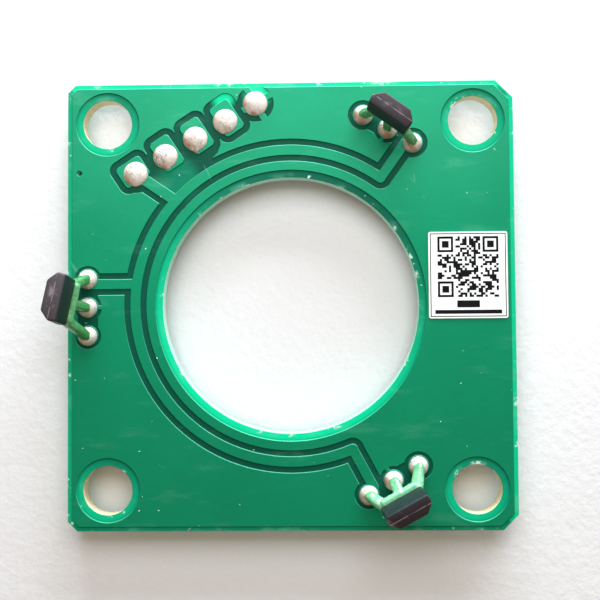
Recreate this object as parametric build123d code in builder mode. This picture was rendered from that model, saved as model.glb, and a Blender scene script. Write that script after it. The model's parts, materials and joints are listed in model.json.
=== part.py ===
from build123d import *
from math import atan2, cos, degrees, radians, sin
import os

os.makedirs("parts", exist_ok=True)

# Square board for three hall sensors round a shaft opening. Millimetres.
# Origin on the axis of the centre opening, at the opening's lower edge, +Z up through the sensor side.

# ---------------------------------------------------------------- board
board_side = 40.0
board_thickness = 1.6
copper = 0.07                     # foil thickness on each face
mask = 0.03                       # green lacquer thickness
centre_radius = 11.45             # opening for the shaft
corner_hole_radius = 2.2
corner_hole_inset = 3.6           # hole axis in from both board edges
snap_top_left = 0.7               # corner cuts left where the board was snapped out
snap_top_right = 1.55
snap_bottom_right = 1.35
snap_bottom_left = 0.85
tooling_hole_radius = 0.2
tooling_hole_inset = 1.05         # in from the left edge
tooling_hole_height = 12.0        # above the board's centre line
tooling_strip = 0.07              # bare ring round it

# ---------------------------------------------------------------- copper layout
edge_strip = 0.42                 # bare strip along the outer edges
centre_strip = 0.7                # bare strip round the centre opening
corner_strip = 0.7                # bare ring round each corner hole
inner_land = 0.74                 # ground ring left inside the supply ring
ring_width = 0.83                 # supply ring track
link_width = 0.8                  # track from the ring to each sensor
feed_width = 0.9                  # track from the first wire pad to the ring
track_gap = 0.62                  # bare gap beside a track
plating = 0.05                    # barrel wall of a plated hole
mask_lap = 0.03                   # lacquer on the side of the foil

# ---------------------------------------------------------------- sensor pads
sensor_axes = {"a": 180.0, "b": 60.0, "c": -60.0}
sensor_pad_inset = {"a": 1.8, "b": 2.0, "c": 1.98}  # pad row in from the board edge, along the axis
sensor_pad_shift = {"a": -0.1, "b": -0.22, "c": 0.0}  # and moved across it
sensor_pad_pitch = 2.54
sensor_pad_radius = 0.9
sensor_drill = 0.45
sensor_gap = {"a": 0.33, "b": 0.48, "c": 0.42}  # bare ring round supply and output pads
relief_gap = 0.4                  # bare ring round a ground pad
relief_spoke = 0.26
web_reach = 0.95                  # bare web between neighbouring pads, either side of the row
web_side = 0.6                    # its start beside the ground pad's middle
ring_offset = {"a": 1.98, "b": 1.39, "c": 1.73}   # link's place across the axis, on the ring
pad_offset = {"a": 1.98, "b": 1.75, "c": 1.84}    # and beside the pad
link_stop = 0.35                  # link ends this short of the pad row

# ---------------------------------------------------------------- wire pads
wire_axis = 120.0
wire_inset = 2.76                 # middle wire pad in from the board edge, along its axis
wire_pitch = 3.12
wire_shift = 0.18                 # whole row moved along itself
wire_drill = 0.55
wire_land_radius = 1.12           # bare copper round each hole
wire_land_width = 1.88            # green-covered rectangle of the signal pads
wire_land_length = 2.95
wire_land_out = 0.19              # its centre outwards of the hole
wire_land_along = 0.25            # and along the row
supply_land_width = 2.45
supply_land_length = 2.0
supply_land_out = 0.28
supply_land_along = -0.13
land_turn = 33.5                  # lands stand a little askew of the row
land_corner = 0.3
wire_gap = 0.65
wire_relief_gap = 0.57
wire_relief_spoke = 0.5
feed_angle = 137.4                # where the feed meets the ring
pocket_out = 15.68                # tip of ground copper beside the bare pocket, along the wire axis
pocket_across = 1.95
pocket_in = 15.13
pocket_in_across = 1.29

# ---------------------------------------------------------------- underside tracks
under_width = 0.6
under_gap = 0.45
under_lane = 1.4                  # distance between the two lanes
under_wire_land = 1.25

# ---------------------------------------------------------------- solder
wire_opening = 1.1                # bare circle in the lacquer at a wire pad
wire_crown = 0.42
wire_foot = 0.45
sensor_opening = 0.85
sensor_crown = 0.72
sensor_foot = 0.7
foot_tip = 0.42                   # flat end of a foot
foot_hollow = 0.42                # place of the foot's waist between pad and tip
crown_shoulder = 0.75             # place of the crown's shoulder, as a share of its radius

# ---------------------------------------------------------------- sensors
body_width = 4.1
body_height = 3.0
body_depth = 1.55
body_face = 2.55                  # width of the front flat between its slanted sides
body_draft = 0.08                 # lean of the end faces from the parting line
body_out = {"a": 0.73, "b": 1.55, "c": 0.32}        # foot inwards of the board edge, along the axis
body_across = {"a": 0.37, "b": -0.54, "c": 0.21}
body_lift = {"a": 3.84, "b": 2.61, "c": 2.46}        # foot above the board
body_yaw = {"a": -10.2, "b": -5.4, "c": -2.0}
body_lean_out = {"a": 6.7, "b": -2.4, "c": -3.3}
body_lean_across = {"a": 1.4, "b": 0.3, "c": 4.3}
lead_pitch = 1.27
lead_width = 0.43
lead_thickness = 0.4
lead_root = 0.9                   # run of a side lead inside the body
lead_rise = 0.45                  # straight run above the board
lead_drop = 0.5                   # straight run below the body
lead_bend = 0.45                  # more than half the lacquer's width
lead_stub = 0.9                   # clipped end below the board
paddle_width = 1.7
paddle_height = 1.6
chip_width = 1.2
chip_height = 1.0
chip_thickness = 0.25
lacquer_width = 0.8
lacquer_depth = 0.62
lacquer_end = 0.1                 # sleeves run this far past the body's foot before they are cut to it
lip_front = 0.25                  # front of the lacquer lip along the body's foot, from the leads' centre
lip_back = {"a": 1.2, "b": 0.25, "c": 1.28}         # its back, round the body's back face on two sensors
lip_climb = {"a": 0.22, "b": 0.05, "c": 0.22}       # its top, above the foot
lip_drop = {"a": 0.34, "b": 0.14, "c": 0.34}        # its underside, below the foot
lip_round = {"a": 0.2, "b": 0.06, "c": 0.2}
lip_inset = 0.25                  # it stops this short of the body's sides

# ---------------------------------------------------------------- label
label_width = 7.0
label_height = 7.7
label_thickness = 0.1
label_edge_gap = 0.7              # in from the right edge
label_rise = 2.55                 # its centre above the board's centre line

# ---------------------------------------------------------------- derived places
half_side = board_side / 2
laminate_under = mask             # lower face of the laminate; its bare lacquer starts at zero
foil_under = laminate_under - copper
underside = foil_under - mask
topside = underside + board_thickness
foil_over = topside - mask
laminate_over = foil_over - copper
land_inner = centre_radius + centre_strip
ring_radius = land_inner + inner_land + track_gap + ring_width / 2
sensor_row = {name: half_side - inset for name, inset in sensor_pad_inset.items()}
wire_row = half_side - wire_inset
hole_reach = half_side - corner_hole_inset
tooling_spot = (tooling_hole_inset - half_side, tooling_hole_height)
pads = ("supply", "ground", "output")
signals = {"a": 1, "b": 3, "c": 2}    # wire pad that carries each sensor's output


def polar(axis, out, across=0.0):
    """Point reached by going out along an axis, then clockwise across it."""
    turn = radians(axis)
    return (out * cos(turn) + across * sin(turn), out * sin(turn) - across * cos(turn))


def bearing(point):
    return degrees(atan2(point[1], point[0]))


def sensor_pad(name, pad):
    across = sensor_pad_shift[name] + sensor_pad_pitch * (1 - pads.index(pad))
    return polar(sensor_axes[name], sensor_row[name], across)


def wire_pad(index):
    return polar(wire_axis, wire_row, wire_shift + wire_pitch * (index - 2))


def strip(start, end, width):
    """Round-ended track between two points."""
    middle = ((start[0] + end[0]) / 2, (start[1] + end[1]) / 2)
    SlotCenterPoint(middle, end, width)


def bow(radius, start, end, width):
    """Round-ended track along a circle about the origin, anticlockwise from start to end."""
    SlotArc(Edge.make_circle(radius, start_angle=start, end_angle=end), width)


def disc(spot, radius, mode=Mode.ADD):
    with Locations(spot):
        Circle(radius, mode=mode)


# ---------------------------------------------------------------- flat layouts
def board_edge(inset=0.0):
    """Square with its corners snapped off, drawn in from the board's edge by an inset."""
    corners = [
        (-half_side, half_side, snap_top_left),
        (half_side, half_side, snap_top_right),
        (half_side, -half_side, snap_bottom_right),
        (-half_side, -half_side, snap_bottom_left),
    ]
    points = []
    for x, y, cut in corners:
        along = (x - cut * x / half_side, y)
        down = (x, y - cut * y / half_side)
        points += [down, along] if x * y < 0 else [along, down]
    with BuildSketch() as edge:
        with BuildLine():
            Polyline(*points, close=True)
        make_face()
        if inset:
            offset(amount=-inset, kind=Kind.INTERSECTION)
    return edge.sketch


def board_outline():
    """Board with its unplated holes."""
    with BuildSketch() as outline:
        add(board_edge())
        Circle(centre_radius, mode=Mode.SUBTRACT)
        with GridLocations(2 * hole_reach, 2 * hole_reach, 2, 2):
            Circle(corner_hole_radius, mode=Mode.SUBTRACT)
        disc(tooling_spot, tooling_hole_radius, Mode.SUBTRACT)
    return outline.sketch


def land(index, width, length, out, along, grow):
    """Green-covered rectangle and bare disc of one wire pad."""
    x, y = wire_pad(index)
    dx, dy = polar(wire_axis, out, along)
    with Locations((x + dx, y + dy)):
        RectangleRounded(width + 2 * grow, length + 2 * grow, land_corner + grow, rotation=land_turn)
    disc((x, y), wire_land_radius + grow)


def supply_tracks(grow=0.0):
    """Ring, its feed from the first wire pad, and its link to each sensor."""
    ends = {}
    for name, axis in sensor_axes.items():
        ends[name] = polar(axis, ring_radius, ring_offset[name])
    with BuildSketch() as area:
        bow(ring_radius, bearing(ends["b"]), bearing(ends["c"]) + 360, ring_width + 2 * grow)
        for name, axis in sensor_axes.items():
            stop = polar(axis, sensor_row[name] - link_stop, pad_offset[name])
            strip(ends[name], stop, link_width + 2 * grow)
        strip(wire_pad(0), polar(feed_angle, ring_radius), feed_width + 2 * grow)
    return area.sketch


def supply_top(grow=0.0):
    with BuildSketch() as area:
        add(supply_tracks(grow))
        land(0, supply_land_width, supply_land_length, supply_land_out, supply_land_along, grow)
        for name in sensor_axes:
            disc(sensor_pad(name, "supply"), sensor_pad_radius + grow)
    return area.sketch


def signal_top(name, grow=0.0):
    """Wire pad and sensor pad of one output line; its track is on the underside."""
    with BuildSketch() as area:
        land(signals[name], wire_land_width, wire_land_length, wire_land_out, wire_land_along, grow)
        disc(sensor_pad(name, "output"), sensor_pad_radius + grow)
    return area.sketch


def pad_webs(name, grow):
    """Bare webs between a sensor's pads, where ground copper would be too thin to hold."""
    axis = sensor_axes[name]
    length = sensor_pad_pitch - 2 * web_side
    with BuildSketch() as area:
        for side in (-1, 1):
            across = sensor_pad_shift[name] + side * sensor_pad_pitch / 2
            with Locations(polar(axis, sensor_row[name], across)):
                Rectangle(2 * (web_reach - grow), length - 2 * grow, rotation=axis)
        disc(sensor_pad(name, "ground"), sensor_pad_radius + grow, Mode.SUBTRACT)
    return area.sketch


def clearances(grow=0.0):
    """Bare gaps that part the ground copper from everything else on top."""
    with BuildSketch() as area:
        add(supply_tracks(track_gap - grow))
        for name in sensor_axes:
            for pad in ("supply", "output"):
                disc(sensor_pad(name, pad), sensor_pad_radius + sensor_gap[name] - grow)
            add(pad_webs(name, grow))
        land(0, supply_land_width, supply_land_length, supply_land_out, supply_land_along, wire_gap - grow)
        for index in (1, 2, 3):
            land(index, wire_land_width, wire_land_length, wire_land_out, wire_land_along, wire_gap - grow)
        with BuildLine():
            tip_out = polar(wire_axis, pocket_out, pocket_across - grow)
            tip_in = polar(wire_axis, pocket_in, pocket_in_across - grow)
            Polyline(wire_pad(0), polar(feed_angle, ring_radius), tip_in, tip_out, wire_pad(2), close=True)
        make_face()
    return area.sketch


def relief(spot, radius, gap, spoke, turn, arms):
    """Bare ring round a ground pad, crossed by spokes."""
    with Locations(spot):
        Circle(radius + gap)
        Circle(radius, mode=Mode.SUBTRACT)
        for arm in range(arms):
            angle = turn + arm * 360 / arms
            middle = radius + gap / 2
            with Locations((middle * cos(radians(angle)), middle * sin(radians(angle)))):
                Rectangle(2 * gap, spoke, rotation=angle, mode=Mode.SUBTRACT)


def reliefs(wire_radius, pad_radius, grow=0.0):
    with BuildSketch() as area:
        relief(wire_pad(4), wire_radius + grow, wire_relief_gap - 2 * grow,
               wire_relief_spoke + 2 * grow, wire_axis - 90, 4)
        for name, axis in sensor_axes.items():
            with BuildSketch(mode=Mode.PRIVATE) as one:
                relief(sensor_pad(name, "ground"), pad_radius + grow, relief_gap - 2 * grow,
                       relief_spoke + 2 * grow, axis, 2)
            add(one.sketch)
    return area.sketch


def plane_copper(gaps, rings, grow=0.0):
    """Ground copper: the board less its bare strips, the gaps and the reliefs, with no islands."""
    with BuildSketch() as area:
        add(board_edge(edge_strip - grow))
        Circle(land_inner - grow, mode=Mode.SUBTRACT)
        with GridLocations(2 * hole_reach, 2 * hole_reach, 2, 2):
            Circle(corner_hole_radius + corner_strip - grow, mode=Mode.SUBTRACT)
        disc(tooling_spot, tooling_hole_radius + tooling_strip - grow, Mode.SUBTRACT)
        add(rings, mode=Mode.SUBTRACT)
        add(gaps, mode=Mode.SUBTRACT)
    return area.sketch.faces().sort_by(SortBy.AREA)[-1]


def signal_under(name, grow=0.0):
    """Output line on the underside: in from the wire pad, round the opening, out to the sensor."""
    start = wire_pad(signals[name])
    stop = sensor_pad(name, "output")
    lane = ring_radius + (0.3 if name == "c" else 0.3 + under_lane)
    first, last = bearing(start), bearing(stop)
    if name == "b":
        first, last = last, first
    last += 360 if last < first else 0
    width = under_width + 2 * grow
    with BuildSketch() as area:
        strip(start, polar(bearing(start), lane), width)
        bow(lane, first, last, width)
        strip(polar(bearing(stop), lane), stop, width)
        disc(start, under_wire_land + grow)
        disc(stop, sensor_pad_radius + grow)
    return area.sketch


def supply_under(grow=0.0):
    with BuildSketch() as area:
        disc(wire_pad(0), under_wire_land + grow)
        for name in sensor_axes:
            disc(sensor_pad(name, "supply"), sensor_pad_radius + grow)
    return area.sketch


def under_clearances(grow=0.0):
    with BuildSketch() as area:
        add(supply_under(under_gap - grow))
        for name in sensor_axes:
            add(signal_under(name, under_gap - grow))
    return area.sketch


def openings(wire_radius, pad_radius):
    """A disc at every soldered hole."""
    with BuildSketch() as area:
        for index in range(5):
            disc(wire_pad(index), wire_radius)
        for name in sensor_axes:
            for pad in pads:
                disc(sensor_pad(name, pad), pad_radius)
    return area.sketch


outline = board_outline()
drills = openings(wire_drill, sensor_drill)
ground_over = plane_copper(clearances(), reliefs(wire_land_radius, sensor_pad_radius))
ground_beneath = plane_copper(under_clearances(), reliefs(under_wire_land, sensor_pad_radius))

# ---------------------------------------------------------------- laminate
with BuildPart() as board_laminate:
    with BuildSketch(Plane.XY.offset(laminate_under)):
        add(outline)
        add(drills, mode=Mode.SUBTRACT)
    extrude(amount=laminate_over - laminate_under)
board_laminate.part.label = "board_laminate"
export_step(board_laminate.part, "parts/board_laminate.step")


# ---------------------------------------------------------------- copper
def foil(label, over, beneath, holes):
    """Copper on both faces, joined by the plated barrels of its holes."""
    with BuildPart() as net:
        with BuildSketch(Plane.XY.offset(laminate_over)):
            add(over)
        extrude(amount=copper)
        with BuildSketch(Plane.XY.offset(foil_under)):
            add(beneath)
        extrude(amount=copper)
        with BuildSketch(Plane.XY.offset(laminate_under)):
            for spot, drill in holes:
                disc(spot, drill)
        extrude(amount=laminate_over - laminate_under)
        with BuildSketch(Plane.XY.offset(foil_under)):
            for spot, drill in holes:
                disc(spot, drill - plating)
        extrude(amount=foil_over - foil_under, mode=Mode.SUBTRACT)
    net.part.label = label
    export_step(net.part, f"parts/{label}.step")
    return net.part


ground_holes = [(wire_pad(4), wire_drill)]
ground_holes += [(sensor_pad(name, "ground"), sensor_drill) for name in sensor_axes]
supply_holes = [(wire_pad(0), wire_drill)]
supply_holes += [(sensor_pad(name, "supply"), sensor_drill) for name in sensor_axes]
foil("ground_copper", ground_over, ground_beneath, ground_holes)
foil("supply_copper", supply_top(), supply_under(), supply_holes)
for name in sensor_axes:
    signal_holes = [(wire_pad(signals[name]), wire_drill), (sensor_pad(name, "output"), sensor_drill)]
    foil(f"signal_copper_{name}", signal_top(name), signal_under(name), signal_holes)


# ---------------------------------------------------------------- lacquer skins
def skin(label, base, lift, foil_shapes, foil_grown):
    """Lacquer over bare laminate, raised where it runs over the foil and open at the joints."""
    with BuildPart() as lacquer:
        with BuildSketch(Plane.XY.offset(base)):
            add(outline)
        extrude(amount=lift * mask)
        with BuildSketch(Plane.XY.offset(base)):
            for shape in foil_grown:
                add(shape)
        extrude(amount=lift * (copper + mask))
        with BuildSketch(Plane.XY.offset(base)):
            for shape in foil_shapes:
                add(shape)
        extrude(amount=lift * copper, mode=Mode.SUBTRACT)
        with BuildSketch(Plane.XY.offset(base)):
            add(openings(wire_opening, sensor_opening))
        extrude(amount=lift * (copper + mask), mode=Mode.SUBTRACT)
    lacquer.part.label = label
    export_step(lacquer.part, f"parts/{label}.step")


over_shapes = [ground_over, supply_top()] + [signal_top(name) for name in sensor_axes]
over_grown = [
    plane_copper(clearances(mask_lap), reliefs(wire_land_radius, sensor_pad_radius, mask_lap), mask_lap),
    supply_top(mask_lap),
] + [signal_top(name, mask_lap) for name in sensor_axes]
skin("solder_mask_top", laminate_over, 1, over_shapes, over_grown)

under_shapes = [ground_beneath, supply_under()] + [signal_under(name) for name in sensor_axes]
under_grown = [
    plane_copper(under_clearances(mask_lap), reliefs(under_wire_land, sensor_pad_radius, mask_lap), mask_lap),
    supply_under(mask_lap),
] + [signal_under(name, mask_lap) for name in sensor_axes]
skin("solder_mask_bottom", laminate_under, -1, under_shapes, under_grown)


# ---------------------------------------------------------------- sensors
def foot_plane(name):
    """At the middle of a body's foot: x across its width, y outwards, z up the body."""
    axis = sensor_axes[name]
    x, y = polar(axis, half_side - body_out[name], body_across[name])
    across = polar(axis, 0, 1)
    level = Plane(origin=(x, y, topside + body_lift[name]), x_dir=(*across, 0), z_dir=(0, 0, 1))
    return level.rotated((body_yaw[name], body_lean_across[name], -body_lean_out[name]), Extrinsic.ZYX)


def lead_path(name, pad, start):
    """Up through the board, over to the body's foot and into it."""
    x, y = sensor_pad(name, pad)
    foot = foot_plane(name)
    step = lead_pitch * (1 - pads.index(pad))
    return [
        (x, y, start),
        (x, y, topside + lead_rise),
        foot.from_local_coords((step, 0, -lead_drop)),
        foot.from_local_coords((step, 0, lead_root)),
    ]


def bent_bar(name, points, width, thickness, corner):
    """Bar swept along a path with a rounded bend at each inner point."""
    across = polar(sensor_axes[name], 0, 1)
    with BuildPart() as bar:
        with BuildLine() as path:
            FilletPolyline(*points, radius=lead_bend)
        with BuildSketch(Plane(origin=points[0], x_dir=(*across, 0), z_dir=(0, 0, 1))):
            if corner:
                RectangleRounded(width, thickness, corner)
            else:
                Rectangle(width, thickness)
        sweep(path=path.line)
    return bar.part


def sensor_lead(name, pad):
    bar = bent_bar(name, lead_path(name, pad, underside - lead_stub), lead_width, lead_thickness, 0)
    with BuildPart() as lead:
        add(bar)
        if pad == "ground":
            with BuildSketch(foot_plane(name).offset(lead_root)):
                Rectangle(paddle_width, lead_thickness)
            extrude(amount=paddle_height)
    lead.part.label = f"sensor_lead_{name}_{pad}"
    export_step(lead.part, f"parts/sensor_lead_{name}_{pad}.step")
    return lead.part


def hall_chip(name):
    """Chip on the front of the paddle."""
    foot = foot_plane(name)
    seat = Plane(origin=foot.from_local_coords((0, lead_thickness / 2, lead_root + paddle_height / 2)),
                 x_dir=foot.x_dir, z_dir=foot.y_dir)
    with BuildPart() as chip:
        with BuildSketch(seat):
            Rectangle(chip_width, chip_height)
        extrude(amount=chip_thickness)
    chip.part.label = f"hall_chip_{name}"
    export_step(chip.part, f"parts/hall_chip_{name}.step")
    return chip.part


def sensor_body(name, leads, chip):
    """Moulding: straight back half, slanted front half, closed round its leads and chip."""
    foot = foot_plane(name)
    parting = Plane(origin=foot.from_local_coords((0, 0, body_height / 2)), x_dir=foot.x_dir, z_dir=foot.y_dir)
    with BuildPart() as body:
        with BuildSketch(parting):
            Rectangle(body_width, body_height)
        with BuildSketch(parting.offset(-body_depth / 2)):
            Rectangle(body_width - 2 * body_draft, body_height - 2 * body_draft)
        loft()
        with BuildSketch(parting):
            Rectangle(body_width, body_height)
        with BuildSketch(parting.offset(body_depth / 2)):
            Rectangle(body_face, body_height - 2 * body_draft)
        loft()
        for piece in leads:
            add(piece, mode=Mode.SUBTRACT)
        add(chip, mode=Mode.SUBTRACT)
    body.part.label = f"sensor_body_{name}"
    export_step(body.part, f"parts/sensor_body_{name}.step")
    return body.part


# ---------------------------------------------------------------- solder
def solder_joint(label, spot, drill, opening, crown, foot, lead=None):
    """Crown on top, plug in the plated barrel and foot below, closed round a lead."""
    core = drill - plating
    with BuildPart() as joint:
        with BuildSketch(Plane(origin=(*spot, 0), x_dir=(1, 0, 0), z_dir=(0, -1, 0))):
            with BuildLine():
                crown_top = (0, topside + crown)
                shoulder = (opening * crown_shoulder, topside + crown * (1 - crown_shoulder ** 2) ** 0.5)
                ThreePointArc(crown_top, shoulder, (opening, topside))
                Polyline((opening, topside), (opening, foil_over), (core, foil_over),
                         (core, foil_under), (opening, foil_under), (opening, underside))
                waist = (opening * foot_hollow + foot_tip * (1 - foot_hollow), underside - foot * foot_hollow)
                ThreePointArc((opening, underside), waist, (foot_tip, underside - foot))
                Polyline((foot_tip, underside - foot), (0, underside - foot), crown_top)
            make_face()
        revolve(axis=Axis((*spot, 0), (0, 0, 1)))
        if lead:
            add(lead, mode=Mode.SUBTRACT)
    joint.part.label = label
    export_step(joint.part, f"parts/{label}.step")
    return joint.part


def lead_lacquer(name, solids):
    """Green lacquer brushed over three leads, with a lip along the body's foot."""
    foot = foot_plane(name)
    sleeves = []
    for pad in pads:
        path = lead_path(name, pad, topside)
        path[-1] = foot.from_local_coords((lead_pitch * (1 - pads.index(pad)), 0, lacquer_end))
        sleeves.append(bent_bar(name, path, lacquer_width, lacquer_depth, lacquer_depth * 0.4))
    depth = lip_front + lip_back[name]
    height = lip_climb[name] + lip_drop[name]
    lip_middle = ((lip_front - lip_back[name]) / 2, (lip_climb[name] - lip_drop[name]) / 2)
    with BuildPart() as coat:
        for sleeve in sleeves:
            add(sleeve)
        with BuildSketch(Plane(origin=foot.origin, x_dir=foot.y_dir, z_dir=foot.x_dir)):
            with Locations(lip_middle):
                RectangleRounded(depth, height, lip_round[name])
        extrude(amount=body_width / 2 - lip_inset, both=True)
        for solid in solids:
            add(solid, mode=Mode.SUBTRACT)
    coat.part.label = f"lead_lacquer_{name}"
    export_step(coat.part, f"parts/lead_lacquer_{name}.step")


for index in range(5):
    solder_joint(f"wire_joint_{index + 1}", wire_pad(index), wire_drill, wire_opening, wire_crown, wire_foot)

for name in sensor_axes:
    leads = [sensor_lead(name, pad) for pad in pads]
    chip = hall_chip(name)
    body = sensor_body(name, leads, chip)
    joints = []
    for pad, lead in zip(pads, leads):
        joints.append(solder_joint(f"sensor_joint_{name}_{pad}", sensor_pad(name, pad), sensor_drill,
                                   sensor_opening, sensor_crown, sensor_foot, lead))
    lead_lacquer(name, leads + joints + [body])

# ---------------------------------------------------------------- label
with BuildPart() as label:
    with BuildSketch(Plane.XY.offset(topside)):
        with Locations((half_side - label_edge_gap - label_width / 2, label_rise)):
            Rectangle(label_width, label_height)
    extrude(amount=label_thickness)
label.part.label = "label"
export_step(label.part, "parts/label.step")
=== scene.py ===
"""Looks of the hall sensor circuit board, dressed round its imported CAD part.

Lengths are named in millimetres and turned to metres where they reach a mesh.
"""
import json
import math

import bmesh
import bpy
import numpy as np
from mathutils import Matrix, Vector, noise


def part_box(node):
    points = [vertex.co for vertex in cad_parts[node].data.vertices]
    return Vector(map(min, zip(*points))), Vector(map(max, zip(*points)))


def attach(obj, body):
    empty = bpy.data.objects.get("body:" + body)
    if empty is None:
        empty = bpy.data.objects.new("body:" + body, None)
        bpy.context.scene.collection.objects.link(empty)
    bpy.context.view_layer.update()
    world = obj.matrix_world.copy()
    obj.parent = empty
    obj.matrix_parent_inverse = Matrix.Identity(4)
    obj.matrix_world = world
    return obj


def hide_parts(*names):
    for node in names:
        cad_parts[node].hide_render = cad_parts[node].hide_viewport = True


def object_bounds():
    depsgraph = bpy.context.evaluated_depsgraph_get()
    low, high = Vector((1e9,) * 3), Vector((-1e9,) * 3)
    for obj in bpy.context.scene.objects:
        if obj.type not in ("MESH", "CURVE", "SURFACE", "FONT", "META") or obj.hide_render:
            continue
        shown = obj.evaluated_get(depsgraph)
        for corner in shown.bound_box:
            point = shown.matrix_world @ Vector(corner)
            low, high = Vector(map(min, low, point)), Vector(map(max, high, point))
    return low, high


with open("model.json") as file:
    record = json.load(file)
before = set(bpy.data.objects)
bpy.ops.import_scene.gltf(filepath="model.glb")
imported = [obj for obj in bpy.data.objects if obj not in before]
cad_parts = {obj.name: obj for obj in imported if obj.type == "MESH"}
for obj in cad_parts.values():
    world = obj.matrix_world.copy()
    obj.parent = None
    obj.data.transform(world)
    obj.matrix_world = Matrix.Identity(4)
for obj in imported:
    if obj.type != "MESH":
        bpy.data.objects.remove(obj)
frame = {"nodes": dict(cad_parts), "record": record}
cad_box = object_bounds()

# ---- sizes
MM = 0.001
SENSORS = ("a", "b", "c")
LEGS = ("supply", "ground", "output")
HAIR = 0.002                 # two places this close are the same place

dims = {mount["name"]: mount["dims"] for mount in frame["record"]["mounts"]}
opening_radius = dims["centre_opening"]["r_mm"]
corner_radius = dims["corner_holes"]["hole_r_mm"]
corner_reach = dims["corner_holes"]["spacing_x_mm"] / 2


def box_mm(node):
    low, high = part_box(node)
    return low / MM, high / MM


def middle_mm(node):
    low, high = box_mm(node)
    return (low + high) / 2


laminate_low, laminate_high = box_mm("board_laminate")
half_side = laminate_high.x
board_top = box_mm("solder_mask_top")[1].z
board_under = box_mm("solder_mask_bottom")[0].z
lacquer_thickness = 0.03
bare_top = laminate_high.z + lacquer_thickness
bare_under = laminate_low.z - lacquer_thickness
foil_top = board_top - lacquer_thickness
foil_under = board_under + lacquer_thickness
resting_plane = cad_box[0].z

slope_foot = 0.055           # the lacquer's slope starts this far out from the foil's side
slope_head = 0.01            # and ends this far in over it
slope_round = 0.016
blank_segments = 40          # round a solder bead
bead_wrinkle = 0.034
body_round = 0.17
leg_round = 0.05
coat_grain = 0.055           # size of the cells that the brushed lacquer is melted into
coat_thickness = {"a": 0.23, "b": 0.2, "c": 0.27}
# the lip of brushed lacquer along a body's foot, from the body's middle and its foot
lip_back = {"a": 1.2, "b": 0.25, "c": 1.28}
lip_front = 0.25
lip_climb = {"a": 0.22, "b": 0.22, "c": 0.24}
lip_drop = {"a": 0.36, "b": 0.3, "c": 0.4}
lip_inset = 0.25             # it stops this short of the body's sides
# how pale each sensor's coat is, also painted light: palest on the sensor whose legs face the light
coat_paleness_and_light = {"a": 0.24, "b": 0.3, "c": 1.0}
coat_start = 0.2             # the brushed lacquer starts this far above the board
coat_overlap = 0.1           # and ends this far above the body's foot
pale_reach = 2.6             # it is pale down to about here under the foot
ripple_length = 0.8
ripple_depth = 0.04
# per sensor: how rubbed the body is, and how much painted light lifts its colour
body_wear_and_light = {"a": 0.85, "b": 0.22, "c": 0.0}
sheet_corner = 0.18
sheet_round = 0.02
ink_thickness = 0.006
dust_density = 0.055         # specks on a square millimetre
dust_size = 0.055
glass_layer = 0.19           # height of one layer of glass cloth in the laminate
corner_cut = 0.9             # the snapped corners start about this far in along the sides
tip_depth = 0.8              # a leg's clipped tip starts this far under the board
bright_side = (0.34, 0.94)   # cut edges that face this way get the most painted glow, light painted as coming through the laminate
lit_way = Vector((0.3, 0.95, 0))           # lacquer slopes that face this way get a painted highlight, those facing away a painted shade
shaded_solder_way = Vector((-0.7, -0.71, 0))   # solder that faces this way gets a painted warm shade


# ---- node trees
class Desk:
    """Adds and links nodes in one tree. A value may be a number, a colour or another node's socket."""

    def __init__(self, tree):
        self.tree = tree

    def put(self, socket, value):
        if isinstance(value, bpy.types.NodeSocket):
            self.tree.links.new(value, socket)
        elif value is not None:
            socket.default_value = value

    def add(self, kind, inputs=None, **settings):
        node = self.tree.nodes.new(kind)
        for key, value in settings.items():
            setattr(node, key, value)
        for key, value in (inputs or {}).items():
            self.put(node.inputs[key], value)
        return node

    def math(self, operation, first, second=None):
        node = self.add("ShaderNodeMath", {0: first}, operation=operation)
        self.put(node.inputs[1], second)
        return node.outputs[0]

    def times(self, first, second):
        return self.math("MULTIPLY", first, second)

    def plus(self, first, second):
        return self.math("ADD", first, second)

    def minus(self, first, second):
        return self.math("SUBTRACT", first, second)

    def most(self, first, second):
        return self.math("MAXIMUM", first, second)

    def least(self, first, second):
        return self.math("MINIMUM", first, second)

    def vector(self, operation, first, second=None, scale=None):
        node = self.add("ShaderNodeVectorMath", {0: first}, operation=operation)
        self.put(node.inputs[1], second)
        if scale is not None:
            self.put(node.inputs["Scale"], scale)
        return node.outputs["Value" if operation in ("LENGTH", "DISTANCE", "DOT_PRODUCT") else "Vector"]

    def step(self, value, start, end, low=0.0, high=1.0):
        """Smooth step from low at start to high at end."""
        return self.add("ShaderNodeMapRange", {0: value, 1: start, 2: end, 3: low, 4: high},
                        interpolation_type="SMOOTHSTEP").outputs[0]

    def noise(self, place, scale, detail=2.0, roughness=0.5, distortion=0.0):
        return self.add("ShaderNodeTexNoise", {
            "Vector": place, "Scale": scale, "Detail": detail, "Roughness": roughness,
            "Distortion": distortion}).outputs[0]

    def mix(self, first, second, share, blend="MIX"):
        node = self.add("ShaderNodeMix", {0: share, 6: first, 7: second}, data_type="RGBA", blend_type=blend)
        return node.outputs[2]

    def part_mm(self):
        """Object coordinates in millimetres."""
        place = self.add("ShaderNodeTexCoord").outputs["Object"]
        return self.vector("SCALE", place, scale=1 / MM)

    def painted(self, name, output="Fac"):
        """Value that the piece's mesh carries under this name, in a material."""
        return self.add("ShaderNodeAttribute", attribute_name=name).outputs[output]

    def carried(self, name, kind):
        """The same in a Geometry Nodes tree."""
        node = self.add("GeometryNodeInputNamedAttribute", {"Name": name}, data_type=kind)
        return node.outputs["Attribute"]

    def split(self, place):
        return self.add("ShaderNodeSeparateXYZ", {0: place}).outputs[:]

    def join(self, x, y, z):
        return self.add("ShaderNodeCombineXYZ", {0: x, 1: y, 2: z}).outputs[0]

    def effect(self, name, *values):
        """An effect group placed in this tree, with its inputs set in their order."""
        node = self.add("ShaderNodeGroup", node_tree=bpy.data.node_groups[name])
        for socket, value in zip(node.inputs, values):
            self.put(socket, value)
        return node.outputs


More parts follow.
